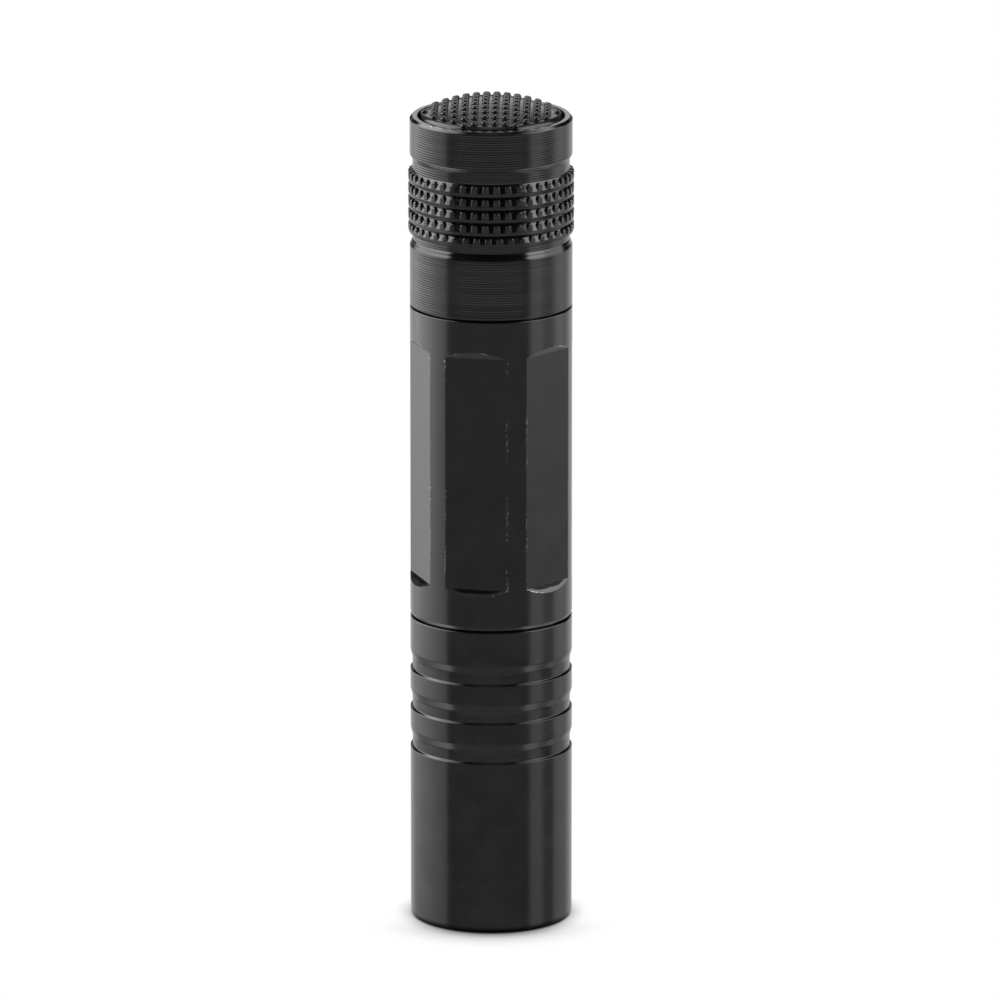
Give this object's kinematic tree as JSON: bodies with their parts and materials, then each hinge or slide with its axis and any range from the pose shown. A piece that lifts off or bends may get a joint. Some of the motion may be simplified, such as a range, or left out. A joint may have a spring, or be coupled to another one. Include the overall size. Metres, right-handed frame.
{
  "type": "mini flashlight",
  "caption": "Pocket torch in black anodised aluminium with a ribbed tail cap, milled flats and a rubber tail button",
  "frame": {"origin": "centre of the front rim, on which the torch stands", "axes": "+Z along the body from the lamp end to the tail button, -Y square to one of the milled flats"},
  "size_m": [0.0184, 0.0184, 0.0936],
  "materials": {
    "body_black": "glossy black anodising over fine turning lines",
    "boot_rubber": "matt black moulded rubber",
    "ring_rubber": "satin black rubber",
    "window_clear": "clear polished window",
    "cup_bright": "vapour coated bright cup",
    "bare_aluminium": "turned, uncoated",
    "brass": "turned brass",
    "spring_wire": "nickel plated wire",
    "plastic_black": "moulded",
    "plastic_white": "moulded",
    "board_green": "solder mask",
    "board_white": "white solder mask",
    "ceramic_white": "fired ceramic",
    "phosphor": "yellow phosphor under clear silicone",
    "coil_core": "ferrite",
    "wire_red": "insulated wire",
    "wire_black": "insulated wire",
    "cell_metal": "bright plated can",
    "cell_print": "plain shrunk sleeve"
  },
  "bodies": {
    "barrel": {"battery_tube": "body_black", "tail_o_ring": "ring_rubber", "head_o_ring": "ring_rubber"},
    "cell": {"cell_can": "cell_metal", "cell_sleeve": "cell_print", "cell_seal": "plastic_black", "cell_positive_cap": "cell_metal", "cell_negative_plate": "cell_metal"},
    "cap": {"tail_cap": "body_black", "switch_boot": "boot_rubber", "switch_housing": "plastic_black", "switch_cover": "plastic_black", "switch_board": "board_green", "retaining_ring": "brass", "tail_spring": "spring_wire", "plunger_spring": "spring_wire", "switch_terminal_left": "brass", "switch_terminal_right": "brass"},
    "button": {"switch_plunger": "plastic_white", "contact_bridge": "brass"},
    "lamp": {"reflector": "cup_bright", "lamp_pill": "bare_aluminium", "led_gasket": "plastic_white", "led_board": "board_white", "led_base": "ceramic_white", "led_dome": "phosphor", "driver_board": "board_green", "driver_coil": "coil_core", "driver_chip": "plastic_black", "driver_capacitor_left": "ceramic_white", "driver_capacitor_right": "ceramic_white", "lamp_wire_positive": "wire_red", "lamp_wire_negative": "wire_black", "front_spring": "spring_wire"},
    "head": {"head_shell": "body_black", "lens": "window_clear", "lens_seal": "ring_rubber"}
  },
  "joints": [
    {"name": "cell_slide", "type": "slide", "parent": "barrel", "child": "cell", "axis": [0, 0, 1], "range_m": [0, 0.0051]},
    {"name": "tail_cap_turn", "type": "hinge", "parent": "cell", "child": "cap", "pos_m": [0, 0, 0.08], "axis": [0, 0, 1], "range_deg": [0, 1800]},
    {"name": "button_press", "type": "slide", "parent": "cap", "child": "button", "axis": [0, 0, -1], "range_m": [0, 0.0012], "stiffness_N_per_m": 1500, "springref_m": -0.0007, "deforming": ["switch_boot", "plunger_spring"]},
    {"name": "lamp_slide", "type": "slide", "parent": "barrel", "child": "lamp", "axis": [0, 0, -1], "range_m": [0, 0.0051]},
    {"name": "head_turn", "type": "hinge", "parent": "lamp", "child": "head", "pos_m": [0, 0, 0.03], "axis": [0, 0, -1], "range_deg": [0, 1800]}
  ],
  "couplings": [
    {"joint": "cell_slide", "follows": "tail_cap_turn", "m_per_rad": 0.00015915},
    {"joint": "lamp_slide", "follows": "head_turn", "m_per_rad": 0.00015915}
  ]
}
